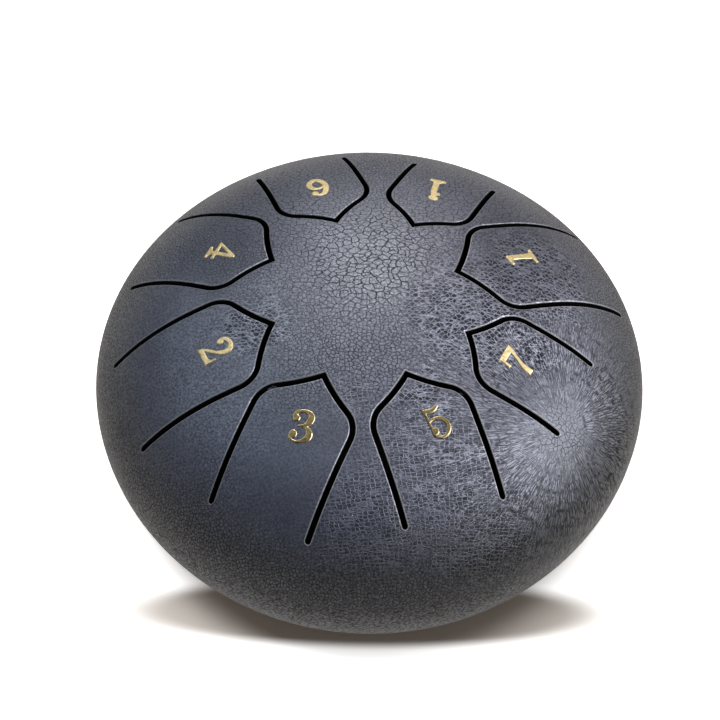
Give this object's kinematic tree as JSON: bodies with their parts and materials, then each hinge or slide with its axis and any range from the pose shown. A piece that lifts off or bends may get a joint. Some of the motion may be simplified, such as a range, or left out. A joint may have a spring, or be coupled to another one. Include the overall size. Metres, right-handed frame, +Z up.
{
  "type": "steel tongue drum",
  "caption": "Small round steel tongue drum with pointed tongues cut in its domed top, metal note numerals, a sound hole below and rubber feet.",
  "frame": {"origin": "on the floor plane under the drum's axis, between the feet", "axes": "+Z up along the drum's axis; -Y is the front, towards the picture's camera"},
  "size_m": [0.155, 0.155, 0.0843],
  "materials": {
    "coated_steel": "dark blue-grey textured coat like cracked leather, satin",
    "gold_metal": "bright gold electroformed metal",
    "rubber": "matt black moulded",
    "zinc_steel": "zinc plated"
  },
  "bodies": {
    "drum": {"upper_shell": "coated_steel", "lower_shell": "coated_steel", "seam_weld": "coated_steel", "foot_front": "rubber", "foot_rear_right": "rubber", "foot_rear_left": "rubber", "foot_washers": "zinc_steel", "foot_screws": "zinc_steel", "foot_rivet_nuts": "zinc_steel"},
    "tongue_1": {"tongue_1": "coated_steel", "numeral_1": "gold_metal"},
    "tongue_2": {"tongue_2": "coated_steel", "numeral_2": "gold_metal"},
    "tongue_3": {"tongue_3": "coated_steel", "numeral_3": "gold_metal"},
    "tongue_4": {"tongue_4": "coated_steel", "numeral_4": "gold_metal"},
    "tongue_5": {"tongue_5": "coated_steel", "numeral_5": "gold_metal"},
    "tongue_6": {"tongue_6": "coated_steel", "numeral_6": "gold_metal"},
    "tongue_7": {"tongue_7": "coated_steel", "numeral_7": "gold_metal"},
    "tongue_high_1": {"tongue_high_1": "coated_steel", "numeral_high_1": "gold_metal"}
  },
  "joints": [
    {"name": "tongue_1_flex", "type": "hinge", "parent": "drum", "child": "tongue_1", "pos_m": [0.06476, 0.02383, 0.06245], "axis": [-0.3453, 0.9385, 0], "range_deg": [-0.6, 0.6], "stiffness_Nm_per_rad": 65},
    {"name": "tongue_2_flex", "type": "hinge", "parent": "drum", "child": "tongue_2", "pos_m": [-0.06443, -0.02371, 0.06289], "axis": [0.3453, -0.9385, 0], "range_deg": [-0.6, 0.6], "stiffness_Nm_per_rad": 67},
    {"name": "tongue_3_flex", "type": "hinge", "parent": "drum", "child": "tongue_3", "pos_m": [-0.02779, -0.06013, 0.06533], "axis": [0.9078, -0.4195, 0], "range_deg": [-0.6, 0.6], "stiffness_Nm_per_rad": 70},
    {"name": "tongue_4_flex", "type": "hinge", "parent": "drum", "child": "tongue_4", "pos_m": [-0.06138, 0.02836, 0.06401], "axis": [-0.4195, -0.9078, 0], "range_deg": [-0.6, 0.6], "stiffness_Nm_per_rad": 70},
    {"name": "tongue_5_flex", "type": "hinge", "parent": "drum", "child": "tongue_5", "pos_m": [0.02156, -0.0586, 0.06851], "axis": [0.9385, 0.3453, 0], "range_deg": [-0.6, 0.6], "stiffness_Nm_per_rad": 72},
    {"name": "tongue_6_flex", "type": "hinge", "parent": "drum", "child": "tongue_6", "pos_m": [-0.02061, 0.05601, 0.07043], "axis": [-0.9385, -0.3453, 0], "range_deg": [-0.6, 0.6], "stiffness_Nm_per_rad": 81},
    {"name": "tongue_7_flex", "type": "hinge", "parent": "drum", "child": "tongue_7", "pos_m": [0.05387, -0.02489, 0.0707], "axis": [0.4195, 0.9078, 0], "range_deg": [-0.6, 0.6], "stiffness_Nm_per_rad": 76},
    {"name": "tongue_high_1_flex", "type": "hinge", "parent": "drum", "child": "tongue_high_1", "pos_m": [0.02388, 0.05167, 0.07211], "axis": [-0.9078, 0.4195, 0], "range_deg": [-0.6, 0.6], "stiffness_Nm_per_rad": 82}
  ]
}
